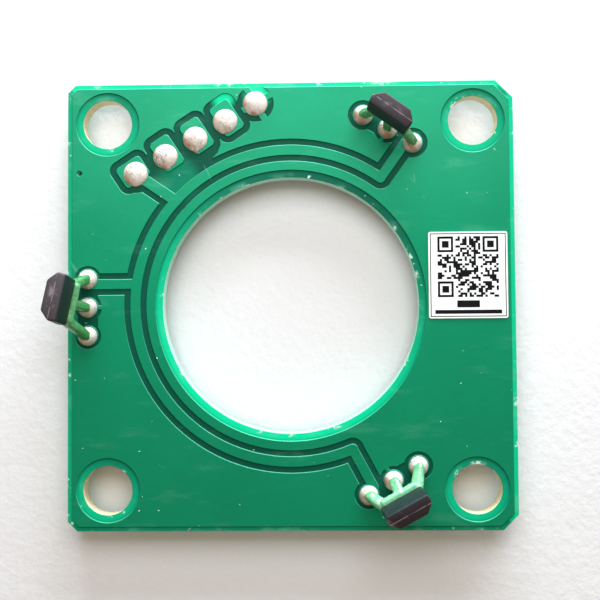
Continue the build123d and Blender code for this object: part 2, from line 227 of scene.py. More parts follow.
def group(name, inputs, outputs):
    """New effect group with these named sockets, which are all numbers."""
    tree = bpy.data.node_groups.new(name, "ShaderNodeTree")
    for way, keys in (("INPUT", inputs), ("OUTPUT", outputs)):
        for key in keys:
            tree.interface.new_socket(name=key, in_out=way, socket_type="NodeSocketFloat")
    desk = Desk(tree)
    return desk, desk.add("NodeGroupInput").outputs, desk.add("NodeGroupOutput").inputs


# ---- shared effects
def mottle_effect():
    """Slow and fine variation of tone, about one."""
    desk, given, made = group("mottle", ("Cloud Size", "Cloud Depth", "Grain Size", "Grain Depth"), ("Tone",))
    place = desk.part_mm()
    cloud = desk.noise(place, desk.math("DIVIDE", 1.0, given["Cloud Size"]), 3.0)
    grain = desk.noise(place, desk.math("DIVIDE", 1.0, given["Grain Size"]), 2.0)
    cloud = desk.times(desk.minus(cloud, 0.5), given["Cloud Depth"])
    grain = desk.times(desk.minus(grain, 0.5), given["Grain Depth"])
    tone = desk.plus(desk.times(desk.plus(cloud, grain), 2.0), 1.0)
    desk.put(made["Tone"], tone)


def speck_effect():
    """Small dust specks and chips."""
    desk, given, made = group("specks", ("Spacing", "Size", "Share"), ("Mask",))
    place = desk.part_mm()
    warp = desk.noise(place, 6.0, 1.0)
    place = desk.vector("ADD", place, desk.vector("SCALE", desk.join(warp, warp, warp), scale=0.08))
    density = desk.math("DIVIDE", 1.0, given["Spacing"])
    cells = desk.add("ShaderNodeTexVoronoi", {"Vector": place, "Scale": density})
    gap = desk.times(cells.outputs["Distance"], given["Spacing"])
    luck, size_luck, _ = desk.split(cells.outputs["Color"])
    radius = desk.times(given["Size"], desk.plus(size_luck, 0.4))
    dot = desk.step(gap, radius, desk.times(radius, 0.5))
    kept = desk.math("LESS_THAN", luck, given["Share"])
    desk.put(made["Mask"], desk.times(dot, kept))


def scratch_effect():
    """Thin scratches along a slow random flow."""
    desk, given, made = group("scratches", ("Spacing", "Width", "Amount", "Slant"), ("Mask",))
    place = desk.part_mm()
    across, along, height = desk.split(place)
    leaning = desk.plus(across, desk.times(along, given["Slant"]))
    drawn = desk.join(leaning, desk.times(along, 0.16), height)
    field = desk.noise(drawn, desk.math("DIVIDE", 1.0, given["Spacing"]), 1.0, distortion=0.6)
    off_line = desk.times(desk.math("ABSOLUTE", desk.minus(field, 0.5)), given["Spacing"])
    line = desk.step(off_line, given["Width"], 0.0)
    patches = desk.noise(desk.vector("ADD", place, (31.0, 7.0, 3.0)), 0.35, 2.0)
    limit = desk.minus(1.0, given["Amount"])
    kept = desk.step(patches, limit, desk.plus(limit, 0.08))
    desk.put(made["Mask"], desk.times(line, kept))


def edge_effect():
    """Distance in millimetres to the nearest cut edge, and how far that edge's wall faces the bright side."""
    desk, _, made = group("cut_edges", (), ("Distance", "Corner Distance", "Facing"))
    x, y, _ = desk.split(desk.part_mm())
    side_x = desk.math("ABSOLUTE", x)
    side_y = desk.math("ABSOLUTE", y)
    outline = desk.minus(half_side, desk.most(side_x, side_y))
    snapped = desk.minus(2 * half_side - corner_cut, desk.plus(side_x, side_y))
    outline = desk.least(outline, desk.times(snapped, 0.7071))
    opening = desk.vector("LENGTH", desk.join(x, y, 0.0))
    opening = desk.math("ABSOLUTE", desk.minus(opening, opening_radius))
    corner_x = desk.minus(side_x, corner_reach)
    corner_y = desk.minus(side_y, corner_reach)
    corner = desk.vector("LENGTH", desk.join(corner_x, corner_y, 0.0))
    corner = desk.math("ABSOLUTE", desk.minus(corner, corner_radius))
    nearest = desk.least(outline, desk.least(opening, corner))
    bright = (*bright_side, 0.0)
    inward = desk.vector("NORMALIZE", desk.join(x, y, 0.0))
    opening_facing = desk.times(desk.vector("DOT_PRODUCT", inward, bright), -1.0)
    flip_x = desk.math("SIGN", x)
    flip_y = desk.math("SIGN", y)
    round_corner = desk.join(desk.times(corner_x, flip_x), desk.times(corner_y, flip_y), 0.0)
    round_corner = desk.vector("DOT_PRODUCT", desk.vector("NORMALIZE", round_corner), bright)
    corner_facing = desk.plus(desk.times(round_corner, -0.35), -0.18)
    sideways = desk.math("GREATER_THAN", side_x, side_y)
    upright = desk.minus(1.0, sideways)
    outline_facing = desk.plus(desk.times(desk.times(flip_x, sideways), bright_side[0]),
                               desk.times(desk.times(flip_y, upright), bright_side[1]))
    outline_facing = desk.times(outline_facing, 0.55)
    at_opening = desk.math("LESS_THAN", opening, desk.least(outline, corner))
    at_corner = desk.math("LESS_THAN", corner, desk.least(outline, opening))
    at_outline = desk.minus(1.0, desk.most(at_opening, at_corner))
    facing = desk.times(outline_facing, at_outline)
    facing = desk.plus(facing, desk.times(opening_facing, at_opening))
    facing = desk.plus(facing, desk.times(corner_facing, at_corner))
    desk.put(made["Distance"], nearest)
    desk.put(made["Corner Distance"], corner)
    desk.put(made["Facing"], facing)


for make_effect in (mottle_effect, speck_effect, scratch_effect, edge_effect):
    make_effect()


def mottle(desk, cloud_size, cloud_depth, grain_size, grain_depth):
    return desk.effect("mottle", cloud_size, cloud_depth, grain_size, grain_depth)["Tone"]


def speck_mask(desk, spacing, size, share):
    return desk.effect("specks", spacing, size, share)["Mask"]


def scratch_mask(desk, spacing, width, amount, slant):
    return desk.effect("scratches", spacing, width, amount, slant)["Mask"]


# ---- finishes
class Finish(Desk):
    """Desk in a new material with a Principled surface; constants go straight to its sockets."""

    def __init__(self, name, **constants):
        self.material = bpy.data.materials.new(name)
        self.material.use_nodes = True
        super().__init__(self.material.node_tree)
        self.surface = self.tree.nodes["Principled BSDF"].inputs
        for key, value in constants.items():
            self.surface[key.replace("_", " ")].default_value = value

    def done(self, colour, roughness=None, grain=None, depth=0.0):
        """The material in this colour and roughness, raised by a height field of a depth in millimetres."""
        self.put(self.surface["Base Color"], colour)
        self.put(self.surface["Roughness"], roughness)
        if grain is not None:
            bump = self.add("ShaderNodeBump", {"Strength": 1.0, "Distance": depth * MM, "Height": grain})
            self.put(self.surface["Normal"], bump.outputs[0])
        return self.material


def toned(desk, colour, tone):
    """Colour multiplied by a tone."""
    grey = desk.add("ShaderNodeCombineColor", {0: tone, 1: tone, 2: tone}).outputs[0]
    return desk.mix(colour, grey, 1.0, "MULTIPLY")


def green_lacquer(name, bare_level, foil_level, painted_glow_spots, chip_spots, pocket_spot):
    """Gloss green lacquer, bright over foil, dark over bare laminate, with a painted mint glow near cut edges
    and spots where light would come through it, and painted highlight and shade on its slopes.
    """
    desk = Finish(name, Coat_Roughness=0.27, IOR=1.5, Specular_IOR_Level=0.1)
    place = desk.part_mm()
    x, y, z = desk.split(place)
    flat_place = desk.join(x, y, 0.0)
    lift = abs(foil_level - bare_level)
    raised = desk.math("DIVIDE", desk.math("ABSOLUTE", desk.minus(z, bare_level)), lift)
    over_foil = desk.step(raised, 0.5, 1.0)
    flank = desk.times(desk.step(raised, 0.12, 0.4), desk.step(raised, 1.04, 0.9))
    facing = desk.painted("facing")

    edges = desk.effect("cut_edges")
    # painted glow: light painted as coming through the bare laminate near cut edges, most where the edge
    # faces bright_side, and at the glow spots
    through = desk.step(edges["Distance"], 1.0, 0.3)
    glow = desk.step(edges["Facing"], -1.1, 1.05)
    for spot, reach in painted_glow_spots:
        near = desk.step(desk.vector("DISTANCE", flat_place, (*spot, 0.0)), reach, reach * 0.35)
        through = desk.most(through, near)
        glow = desk.most(glow, desk.times(near, 0.26))
    pocket = desk.step(desk.vector("DISTANCE", flat_place, (*pocket_spot, 0.0)), 2.5, 1.1, 0.0, 0.75)

    tone = mottle(desk, 7.0, 0.1, 0.25, 0.04)
    foil_green = toned(desk, (0.004, 0.275, 0.135, 1), tone)
    deep_green = toned(desk, (0.001, 0.078, 0.046, 1), tone)
    deep_green = desk.mix(deep_green, (0.001, 0.23, 0.12, 1), pocket)
    # painted glow colour of the bare strips along the cut edges
    painted_glow_green = desk.mix((0.001, 0.115, 0.065, 1), (0.001, 0.72, 0.35, 1), glow)
    bare_green = desk.mix(deep_green, painted_glow_green, through)
    colour = desk.mix(bare_green, foil_green, over_foil)
    # painted highlight on slopes facing lit_way, painted shade on slopes facing away from it
    painted_highlight_flank = desk.times(flank, desk.step(facing, 0.1, 0.6, 0.0, 0.6))
    colour = desk.mix(colour, (0.10, 0.46, 0.29, 1), painted_highlight_flank)
    painted_shade_flank = desk.times(flank, desk.step(facing, -0.1, -0.6, 0.0, 0.6))
    colour = desk.mix(colour, (0.001, 0.04, 0.025, 1), painted_shade_flank)

    rim = desk.step(edges["Distance"], 0.14, 0.02)
    chips = desk.step(desk.noise(place, 0.9, 5.0, 0.65), 0.6, 0.66)
    for spot, reach in chip_spots:
        chips = desk.most(chips, desk.step(desk.vector("DISTANCE", flat_place, (*spot, 0.0)), reach, 0.0))
    wide_rim = desk.step(edges["Distance"], 0.34, 0.2)
    ragged = desk.step(desk.noise(place, 3.0, 4.0, 0.6), 0.42, 0.55)
    chips = desk.times(chips, desk.most(rim, desk.times(wide_rim, ragged)))
    colour = desk.mix(colour, (0.62, 0.84, 0.72, 1), desk.times(chips, 0.9))
    hazy = desk.step(edges["Distance"], 0.55, 0.1)
    haze = desk.step(desk.noise(desk.vector("ADD", place, (4.0, 9.0, 0.0)), 0.5, 3.0), 0.52, 0.72, 0.0, 0.25)
    colour = desk.mix(colour, (0.2, 0.6, 0.45, 1), desk.times(hazy, haze))
    wiped = desk.noise(desk.join(desk.times(x, 0.3), y, 1.7), 0.5, 4.0, 0.62)
    colour = desk.mix(colour, (0.22, 0.60, 0.45, 1), desk.step(wiped, 0.55, 0.74, 0.0, 0.11))
    specks = speck_mask(desk, 1.7, 0.045, 0.3)
    scratches = scratch_mask(desk, 3.4, 0.018, 0.32, 0.5)
    marks = desk.most(desk.times(specks, 0.6), desk.times(scratches, 0.18))
    colour = desk.mix(colour, (0.42, 0.78, 0.62, 1), marks)
    desk.put(desk.surface["Metallic"], desk.times(over_foil, 0.5))
    desk.put(desk.surface["Coat Weight"], desk.times(over_foil, 0.16))

    smear = desk.noise(place, 0.22, 3.0)
    rough = desk.plus(desk.plus(0.42, desk.times(smear, 0.2)), desk.times(marks, 0.4))
    ripple = desk.plus(desk.noise(place, 1.4, 2.0), desk.times(desk.noise(place, 9.0, 2.0), 0.12))
    return desk.done(colour, rough, desk.plus(ripple, desk.times(marks, 0.5)), 0.012)


def cut_laminate():
    """Sawn and drilled glass-fibre edge: mint where the core shows, cream in the corner holes."""
    desk = Finish("cut_laminate", Roughness=0.62, IOR=1.5)
    place = desk.part_mm()
    x, y, z = desk.split(place)
    edges = desk.effect("cut_edges")
    layers = desk.math("SINE", desk.times(z, 2 * math.pi / glass_layer))
    layers = desk.step(layers, -0.4, 0.9)
    threads = desk.noise(desk.join(desk.times(x, 2.2), desk.times(y, 2.2), desk.times(z, 9.0)), 2.4, 3.0, 0.6)
    weave = desk.plus(desk.times(layers, 0.3), desk.times(threads, 0.7))
    core = desk.mix((0.28, 0.60, 0.44, 1), (0.60, 0.90, 0.76, 1), weave)
    cream = desk.mix((0.60, 0.50, 0.27, 1), (0.90, 0.84, 0.60, 1), weave)
    colour = desk.mix(core, cream, desk.step(edges["Corner Distance"], 1.2, 0.6))
    tone = mottle(desk, 3.0, 0.12, 0.12, 0.12)
    specks = speck_mask(desk, 0.5, 0.05, 0.4)
    colour = desk.mix(toned(desk, colour, tone), (0.9, 0.93, 0.88, 1), desk.times(specks, 0.6))
    saw = desk.noise(desk.join(desk.times(desk.plus(x, y), 6.0), 0.0, desk.times(z, 0.6)), 3.0, 3.0)
    return desk.done(colour, None, desk.plus(saw, desk.times(weave, 0.6)), 0.03)


def foil_copper():
    desk = Finish("foil_copper", Metallic=1.0, Roughness=0.4)
    tone = mottle(desk, 2.0, 0.2, 0.08, 0.14)
    colour = toned(desk, (0.78, 0.44, 0.29, 1), tone)
    return desk.done(colour, None, desk.noise(desk.part_mm(), 14.0, 3.0), 0.006)


def satin_solder(pitted_spot):
    """Pale satin solder, with pits where the flux boiled, a faint warm film and a painted warm shade on its
    lower side.
    """
    desk = Finish("satin_solder", Metallic=0.08, IOR=1.5)
    place = desk.part_mm()
    tone = mottle(desk, 1.1, 0.09, 0.12, 0.07)
    white = toned(desk, (0.72, 0.67, 0.62, 1), tone)
    film = desk.step(desk.noise(place, 0.9, 2.0), 0.42, 0.68, 0.0, 0.6)
    colour = desk.mix(white, (0.68, 0.56, 0.50, 1), film)
    # painted warm shade on the side of each bead that faces away from the light
    painted_shade_side = desk.step(desk.painted("painted_shade_side"), 0.02, 0.45, 0.0, 0.9)
    patchy = desk.step(desk.noise(place, 1.2, 2.0), 0.36, 0.6, 0.3, 1.0)
    colour = desk.mix(colour, (0.44, 0.21, 0.12, 1), desk.times(painted_shade_side, patchy))
    dull = desk.step(desk.vector("DISTANCE", place, tuple(pitted_spot)), 0.72, 0.34)
    pits = desk.step(desk.noise(place, 6.5, 3.0, 0.6), 0.5, 0.57)
    far_pits = speck_mask(desk, 0.9, 0.07, 0.32)
    pits = desk.most(desk.times(pits, dull), desk.times(far_pits, 0.55))
    # painted shade in the pits
    colour = desk.mix(colour, (0.26, 0.20, 0.14, 1), desk.times(pits, 0.85))
    # painted shade in the folds
    folds = desk.math("ABSOLUTE", desk.minus(desk.noise(place, 1.9, 4.0, 0.55, 1.2), 0.5))
    folds = desk.times(desk.step(folds, 0.022, 0.004), desk.step(desk.noise(place, 1.0, 1.0), 0.44, 0.58))
    colour = desk.mix(colour, (0.40, 0.31, 0.25, 1), desk.times(folds, 0.5))
    wrinkled = desk.noise(place, 1.7, 5.0, 0.62, 1.4)
    sunken = desk.plus(desk.times(pits, 0.9), desk.times(folds, 0.7))
    grain = desk.minus(desk.plus(desk.noise(place, 6.0, 3.0), wrinkled), sunken)
    return desk.done(colour, desk.plus(0.5, desk.times(pits, 0.3)), grain, 0.045)


def tinned_leg():
    desk = Finish("tinned_leg", Metallic=0.9)
    place = desk.part_mm()
    x, y, z = desk.split(place)
    drawn = desk.noise(desk.join(desk.times(x, 9.0), desk.times(y, 9.0), z), 1.6, 2.0)
    tone = desk.plus(0.85, desk.times(drawn, 0.3))
    clipped = desk.step(z, board_under - tip_depth, board_under - tip_depth - 0.06)
    colour = desk.mix(toned(desk, (0.74, 0.74, 0.72, 1), tone), (0.72, 0.45, 0.30, 1), clipped)
    return desk.done(colour, desk.plus(0.22, desk.times(drawn, 0.2)), drawn, 0.008)


def moulded_body():
    """Dark moulding compound: fine matt grain, a painted highlight along the parting line, rubbed corners,
    and painted light and reflection on its faces.
    """
    desk = Finish("moulded_body", IOR=1.5, Specular_IOR_Level=0.32)
    place = desk.part_mm()
    seat = desk.painted("in_body", "Vector")
    across, depth, height = desk.split(seat)
    tone = mottle(desk, 1.6, 0.16, 0.07, 0.22)
    # front half painted a touch lighter than the back half: painted light
    dark = desk.mix((0.018, 0.012, 0.016, 1), (0.022, 0.013, 0.018, 1), desk.step(depth, -0.02, 0.06))
    # lighter tint per sensor: painted light and sheen, together with the rubbing
    wear_and_light = desk.painted("wear_and_light")
    dark = desk.mix(dark, (0.068, 0.057, 0.063, 1), desk.times(wear_and_light, 0.65))
    # dark teal on the back face: painted reflection of the green board
    dark = desk.mix(dark, (0.008, 0.015, 0.017, 1), desk.step(depth, -0.5, -0.72))
    colour = toned(desk, dark, tone)
    # painted highlight along the ridge of the parting line
    parting_highlight = desk.step(desk.math("ABSOLUTE", depth), 0.055, 0.015)
    broken = desk.step(desk.noise(place, 2.2, 3.0), 0.36, 0.56)
    colour = desk.mix(colour, (0.26, 0.19, 0.21, 1), desk.times(desk.times(parting_highlight, broken), 0.8))
    specks = speck_mask(desk, 0.6, 0.035, 0.25)
    scratches = scratch_mask(desk, 1.6, 0.018, 0.46, 1.4)
    rubbed = desk.most(desk.times(specks, 0.6), desk.times(scratches, 0.5))
    colour = desk.mix(colour, (0.30, 0.26, 0.27, 1), rubbed)
    scuffed = desk.times(desk.step(desk.math("ABSOLUTE", depth), 0.5, 0.2), desk.step(height, 1.2, 1.45))
    scuffed = desk.times(scuffed, desk.step(desk.math("ABSOLUTE", across), 1.3, 0.5))
    worn = desk.step(desk.noise(place, 1.3, 3.0), 0.46, 0.66, 0.0, 0.6)
    worn = desk.times(desk.times(worn, scuffed), wear_and_light)
    colour = desk.mix(colour, (0.30, 0.24, 0.26, 1), worn)
    grain = desk.plus(desk.noise(place, 22.0, 2.0), desk.times(rubbed, 0.7))
    return desk.done(colour, desk.minus(0.5, desk.times(worn, 0.3)), grain, 0.014)


def polished_chip():
    desk = Finish("polished_chip", Metallic=0.4, Roughness=0.18)
    lines = desk.add("ShaderNodeTexBrick", {
        "Vector": desk.part_mm(), "Color1": (0.16, 0.15, 0.2, 1), "Color2": (0.22, 0.2, 0.24, 1),
        "Mortar": (0.4, 0.36, 0.25, 1), "Scale": 5.0, "Mortar Size": 0.012})
    return desk.done(lines.outputs["Color"])


def brushed_coat():
    """Mint lacquer brushed over the legs, paler where it lies thicker by the body, and painted paler on the
    sensor whose legs face the light.
    """
    desk = Finish("brushed_coat", IOR=1.5, Coat_Weight=0.6, Coat_Roughness=0.12, Subsurface_Weight=0.25,
                  Subsurface_Scale=0.4 * MM)
    place = desk.part_mm()
    pale_and_lit = desk.painted("thickness_and_light")
    tone = mottle(desk, 0.8, 0.14, 0.15, 0.06)
    thin_green = toned(desk, (0.05, 0.24, 0.06, 1), tone)
    # paler where thicker by the body, and painted light: paler on the sensor whose legs face the light
    colour = desk.mix(thin_green, (0.21, 0.60, 0.32, 1), pale_and_lit)
    streaks = desk.step(desk.noise(place, 2.6, 3.0), 0.52, 0.66, 0.0, 0.5)
    colour = desk.mix(colour, (0.46, 0.80, 0.58, 1), desk.times(streaks, pale_and_lit))
    return desk.done(colour, desk.plus(0.2, desk.times(streaks, 0.3)), desk.noise(place, 2.2, 2.0), 0.035)


def label_paper():
    desk = Finish("label_paper", Roughness=0.85, Specular_IOR_Level=0.2)
    place = desk.part_mm()
    tone = mottle(desk, 3.0, 0.03, 0.1, 0.03)
    specks = speck_mask(desk, 1.4, 0.03, 0.3)
    white = toned(desk, (0.96, 0.965, 0.975, 1), tone)
    colour = desk.mix(white, (0.5, 0.5, 0.48, 1), desk.times(specks, 0.4))
    return desk.done(colour, None, desk.noise(place, 18.0, 4.0, 0.65), 0.006)


def label_ink():
    desk = Finish("label_ink", Roughness=0.8, Specular_IOR_Level=0.1)
    tone = mottle(desk, 0.7, 0.3, 0.08, 0.3)
    colour = toned(desk, (0.006, 0.006, 0.007, 1), tone)
    return desk.done(colour, None, desk.noise(desk.part_mm(), 20.0, 2.0), 0.004)


def dust():
    desk = Finish("dust", Roughness=0.8)
    pale = desk.step(desk.noise(desk.part_mm(), 1.9, 1.0), 0.42, 0.6)
    return desk.done(desk.mix((0.36, 0.80, 0.62, 1), (0.93, 0.97, 0.94, 1), pale))


def floor_paper():
    desk = Finish("floor_paper", Roughness=0.85)
    place = desk.part_mm()
    tone = mottle(desk, 14.0, 0.012, 0.5, 0.012)
    pulp = desk.plus(desk.noise(place, 1.2, 4.0, 0.6), desk.times(desk.noise(place, 0.25, 2.0), 0.8))
    return desk.done(toned(desk, (0.832, 0.832, 0.848, 1), tone), None, pulp, 0.05)


# ---- mesh help
def linked(name, data):
    """New object of this data in the scene."""
    thing = bpy.data.objects.new(name, data)
    bpy.context.scene.collection.objects.link(thing)
    return thing


def placed(name, mesh, material, slot, *nodes):
    """Finished piece: linked, painted, riding on the board and standing for its CAD nodes."""
    piece = linked(name, mesh)
    mesh.materials.clear()
    mesh.materials.append(material)
    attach(piece, "root")
    if nodes:
        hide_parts(*nodes)
    return piece


def node_copy(node):
    """Copy of a CAD node's mesh with its doubles merged, for a piece that stands for it."""
    bm = bmesh.new()
    bm.from_mesh(frame["nodes"][node].data)
    bmesh.ops.remove_doubles(bm, verts=bm.verts, dist=HAIR * MM * 0.5)
    bm.normal_update()
    return bm


def plain(bm, name):
    mesh = bpy.data.meshes.new(name)
    bm.to_mesh(mesh)
    bm.free()
    return mesh


def as_mesh(carrier):
    """Plain mesh of what the carrier's modifiers make; the carrier and its modifiers go."""
    bpy.context.view_layer.update()
    evaluated = carrier.evaluated_get(bpy.context.evaluated_depsgraph_get())
    made = bpy.data.meshes.new_from_object(evaluated)
    carrier.modifiers.clear()
    bpy.data.objects.remove(carrier)
    return made


def bevel(width, segments, angle, **settings):
    """Bevel of a width in millimetres on the edges sharper than an angle in degrees."""
    return "BEVEL", {"width": width * MM, "segments": segments, "limit_method": "ANGLE",
                     "angle_limit": math.radians(angle), **settings}


def settled(mesh, *modifiers, smooth_angle=None):
    """Mesh with these modifiers applied: (kind, {setting: value}) each."""
    carrier = linked("carrier", mesh)
    for kind, values in modifiers:
        modifier = carrier.modifiers.new(kind.lower(), kind)
        for key, value in values.items():
            setattr(modifier, key, value)
    made = as_mesh(carrier)
    if smooth_angle:
        made.shade_smooth()
        made.set_sharp_from_angle(angle=math.radians(smooth_angle))
    return made


def face_attribute(mesh, name, values):
    mesh.attributes.new(name, "FLOAT", "FACE").data.foreach_set("value", values)


def grown(name, mesh, tree, values):
    """Mesh that a Geometry Nodes tree makes from a starting mesh and its named inputs."""
    carrier = linked(name, mesh)
    modifier = carrier.modifiers.new(name, "NODES")
    modifier.node_group = tree
    for item in tree.interface.items_tree:
        if item.item_type == "SOCKET" and item.in_out == "INPUT" and item.name in values:
            modifier[item.identifier] = values[item.name]
    return as_mesh(carrier)


def geometry_tree(name, **inputs):
    """Empty Geometry Nodes tree with a mesh in and out and named inputs: {name: kind of socket}."""
    tree = bpy.data.node_groups.new(name, "GeometryNodeTree")
    mesh = {"geometry": "Geometry"}
    for way, sockets in (("INPUT", {**mesh, **inputs}), ("OUTPUT", mesh)):
        for key, kind in sockets.items():
            tree.interface.new_socket(name=key.title(), in_out=way, socket_type="NodeSocket" + kind)
    desk = Desk(tree)
    return tree, desk, desk.add("NodeGroupInput").outputs, desk.add("NodeGroupOutput").inputs


def coloured(desk, made, geometry, material):
    """Gives the tree's last geometry its material and puts it out."""
    painted = desk.add("GeometryNodeSetMaterial", {"Geometry": geometry.outputs[0], "Material": material})
    desk.put(made["Geometry"], painted.outputs[0])


# ---- lacquer skins
def offset_at(normals):
    """Step that moves a corner one unit along each of its wall normals at once."""
    kept = []
    for normal in normals:
        if all((normal - other).length > 0.02 for other in kept):
            kept.append(normal)
    total = sum(kept, Vector((0, 0)))
    if len(kept) < 2 or total.length < 0.3:
        return kept[0]
    return total * (len(kept) / total.length_squared)


def lacquer_skin(name, node, material, bare_level, foil_level):
    """Lacquer whose steps at the foil's sides are slopes with rounded edges."""
    bm = node_copy(node)
    feet, heads = {}, {}
    for face in bm.faces:
        levels = [v.co.z / MM for v in face.verts]
        nearest_bare = min(abs(level - bare_level) for level in levels)
        nearest_head = min(abs(level - foil_level) for level in levels)
        if abs(face.normal.z) > 0.5 or nearest_bare > HAIR or nearest_head > HAIR:
            continue
        for vertex in face.verts:
            rows = feet if abs(vertex.co.z / MM - bare_level) < HAIR else heads
            rows.setdefault(vertex, []).append(face.normal.xy.normalized())
    for rows, reach in ((feet, slope_foot), (heads, -slope_head)):
        for vertex, normals in rows.items():
            shift = offset_at(normals) * reach * MM
            vertex.co += Vector((shift.x, shift.y, 0))
    mesh = settled(plain(bm, name), bevel(slope_round, 2, 30, use_clamp_overlap=False))
    face_attribute(mesh, "facing", [face.normal.dot(lit_way) for face in mesh.polygons])
    return placed(name, mesh, material, "green_lacquer", node)


# ---- solder
def bead_blank(name, radius, drill, crown, foot, sagging):
    """Closed turned blank of one joint about the origin: crown, plug in the drilled hole and foot."""
    crown_steps = 9
    foot_steps = 6
    profile = [(0.0, board_top + crown)]
    for index in range(1, crown_steps + 1):
        turn = index / crown_steps * math.pi / 2
        profile.append((radius * math.sin(turn), board_top + crown * math.cos(turn) ** sagging))
    profile += [(radius, foil_top), (drill, foil_top), (drill, foil_under), (radius, foil_under)]
    tip_radius = 0.36
    shoulder_drop, tip_drop = 0.05, 0.06   # they round the foot's end
    for index in range(foot_steps + 1):
        share = index / foot_steps
        hollow = (1 - share) ** 1.7
        profile.append((tip_radius + (radius - tip_radius) * hollow, board_under - foot * share))
    profile.append((tip_radius * 0.5, board_under - foot - shoulder_drop))
    profile.append((0.0, board_under - foot - tip_drop))
    bm = bmesh.new()
    rings = []
    turns = [2 * math.pi * index / blank_segments for index in range(blank_segments)]
    for r, z in profile:
        ring = [(r * math.cos(turn) * MM, r * math.sin(turn) * MM, z * MM) for turn in turns]
        rings.append([bm.verts.new(place) for place in (ring if r else [(0, 0, z * MM)])])
    for upper, lower in zip(rings, rings[1:]):
        for index in range(blank_segments):
            following = (index + 1) % blank_segments
            if len(upper) == 1:
                bm.faces.new((upper[0], lower[index], lower[following]))
            elif len(lower) == 1:
                bm.faces.new((upper[index], lower[0], upper[following]))
            else:
                bm.faces.new((upper[index], lower[index], lower[following], upper[following]))
    bmesh.ops.recalc_face_normals(bm, faces=bm.faces)
    return linked(name, plain(bm, name))


def bead_tree():
    """A solder bead on every starting point, each wrinkled in its own way, with a drip on its lower side."""
    tree, desk, given, made = geometry_tree("solder_beads", blank="Object", radius="Float", wrinkle="Float",
                                            seed="Int", solder="Material")
    blank = desk.add("GeometryNodeObjectInfo", {"Object": given["Blank"]}, transform_space="ORIGINAL")
    local = desk.add("GeometryNodeInputPosition").outputs[0]
    bead = desk.add("GeometryNodeStoreNamedAttribute", {
        "Geometry": blank.outputs["Geometry"], "Name": "local", "Value": local},
        data_type="FLOAT_VECTOR", domain="POINT").outputs[0]
    beads = desk.add("GeometryNodeInstanceOnPoints", {"Points": given["Geometry"], "Instance": bead})
    real = desk.add("GeometryNodeRealizeInstances", {"Geometry": beads.outputs[0]})

    x, y, z = desk.split(desk.carried("local", "FLOAT_VECTOR"))
    out = desk.math("DIVIDE", desk.vector("LENGTH", desk.join(x, y, 0.0)), given["Radius"])
    above = desk.step(z, (board_top + 0.002) * MM, (board_top + 0.05) * MM)
    below = desk.step(z, (board_under - 0.002) * MM, (board_under - 0.06) * MM)
    outside = desk.plus(above, below)

    place = desk.add("GeometryNodeInputPosition").outputs[0]
    sown = desk.vector("ADD", place, desk.join(given["Seed"], 0.0, 0.0))
    ripple = desk.add("ShaderNodeTexNoise", {"Vector": sown, "Scale": 1 / (0.75 * MM), "Detail": 3.0})
    ripple = desk.vector("SUBTRACT", ripple.outputs["Color"], (0.5, 0.5, 0.5))
    reach = desk.times(given["Wrinkle"], outside)
    offset = desk.vector("SCALE", ripple, scale=reach)

    bearing = desk.math("ARCTAN2", x, desk.times(y, -1.0))
    luck = desk.noise(sown, 1 / (6.0 * MM), 0.0)
    lean = desk.times(desk.minus(luck, 0.5), 1.6)
    drip = desk.carried("drip", "FLOAT")
    off_drip = desk.math("DIVIDE", desk.minus(bearing, lean), 0.25)
    hump = desk.math("POWER", 2.718, desk.times(desk.times(off_drip, off_drip), -1.0))
    low_edge = desk.step(out, 0.8, 1.0)
    over_top = desk.step(z, (board_top - 0.01) * MM, board_top * MM)
    pull = desk.times(desk.times(hump, low_edge), desk.times(drip, over_top))
    outward = desk.vector("NORMALIZE", desk.join(x, y, 0.0))
    offset = desk.vector("ADD", offset, desk.vector("SCALE", outward, scale=pull))
    moved = desk.add("GeometryNodeSetPosition", {"Geometry": real.outputs[0], "Offset": offset})
    coloured(desk, made, moved, given["Solder"])
    return tree


def solder_row(name, tree, material, nodes, radius, drill, crown, foot, sagging, drips, seed):
    """Beads at the places of these joints, each with its own length of drip."""
    spots = bpy.data.meshes.new(name + "_spots")
    spots.from_pydata([Vector((middle_mm(node).x, middle_mm(node).y, 0)) * MM for node in nodes], [], [])
    lengths = spots.attributes.new("drip", "FLOAT", "POINT")
    for index in range(len(nodes)):
        lengths.data[index].value = drips[index % len(drips)] * MM
    blank = bead_blank(name + "_blank", radius, drill, crown, foot, sagging)
    values = {"Blank": blank, "Radius": radius * MM, "Wrinkle": bead_wrinkle * MM, "Seed": seed}
    mesh = grown(name, spots, tree, {**values, "Solder": material})
    bpy.data.objects.remove(blank)
    # how far each face turns away from the light, for the painted warm shade
    face_attribute(mesh, "painted_shade_side", [face.normal.dot(shaded_solder_way) for face in mesh.polygons])
    mesh.shade_smooth()
    mesh.set_sharp_from_angle(angle=math.radians(60))
    return placed(name, mesh, material, "solder", *nodes)


# ---- sensors
def body_seat(node):
    """Centre, axes and size of a moulded body: across its width, out through its front, up its height."""
    bm = node_copy(node)
    areas = {}
    for face in bm.faces:
        key = tuple(round(c, 2) for c in face.normal)
        areas.setdefault(key, []).append(face)
    back = max(areas.values(), key=lambda faces: sum(f.calc_area() for f in faces))
    outward = -back[0].normal.copy()
    spread = np.array([v.co for v in {v for f in back for v in f.verts}])
    spread = spread - spread.mean(axis=0)
    across = Vector(np.linalg.svd(spread, full_matrices=False)[2][0])
    across = (across - outward * across.dot(outward)).normalized()
    if across.cross(outward).z < 0:
        across = -across
    axes = Matrix((across, outward, across.cross(outward)))
    local = np.array([axes @ v.co for v in bm.verts]) / MM
    bm.free()
    return (local.min(axis=0) + local.max(axis=0)) / 2, axes, local.max(axis=0) - local.min(axis=0)


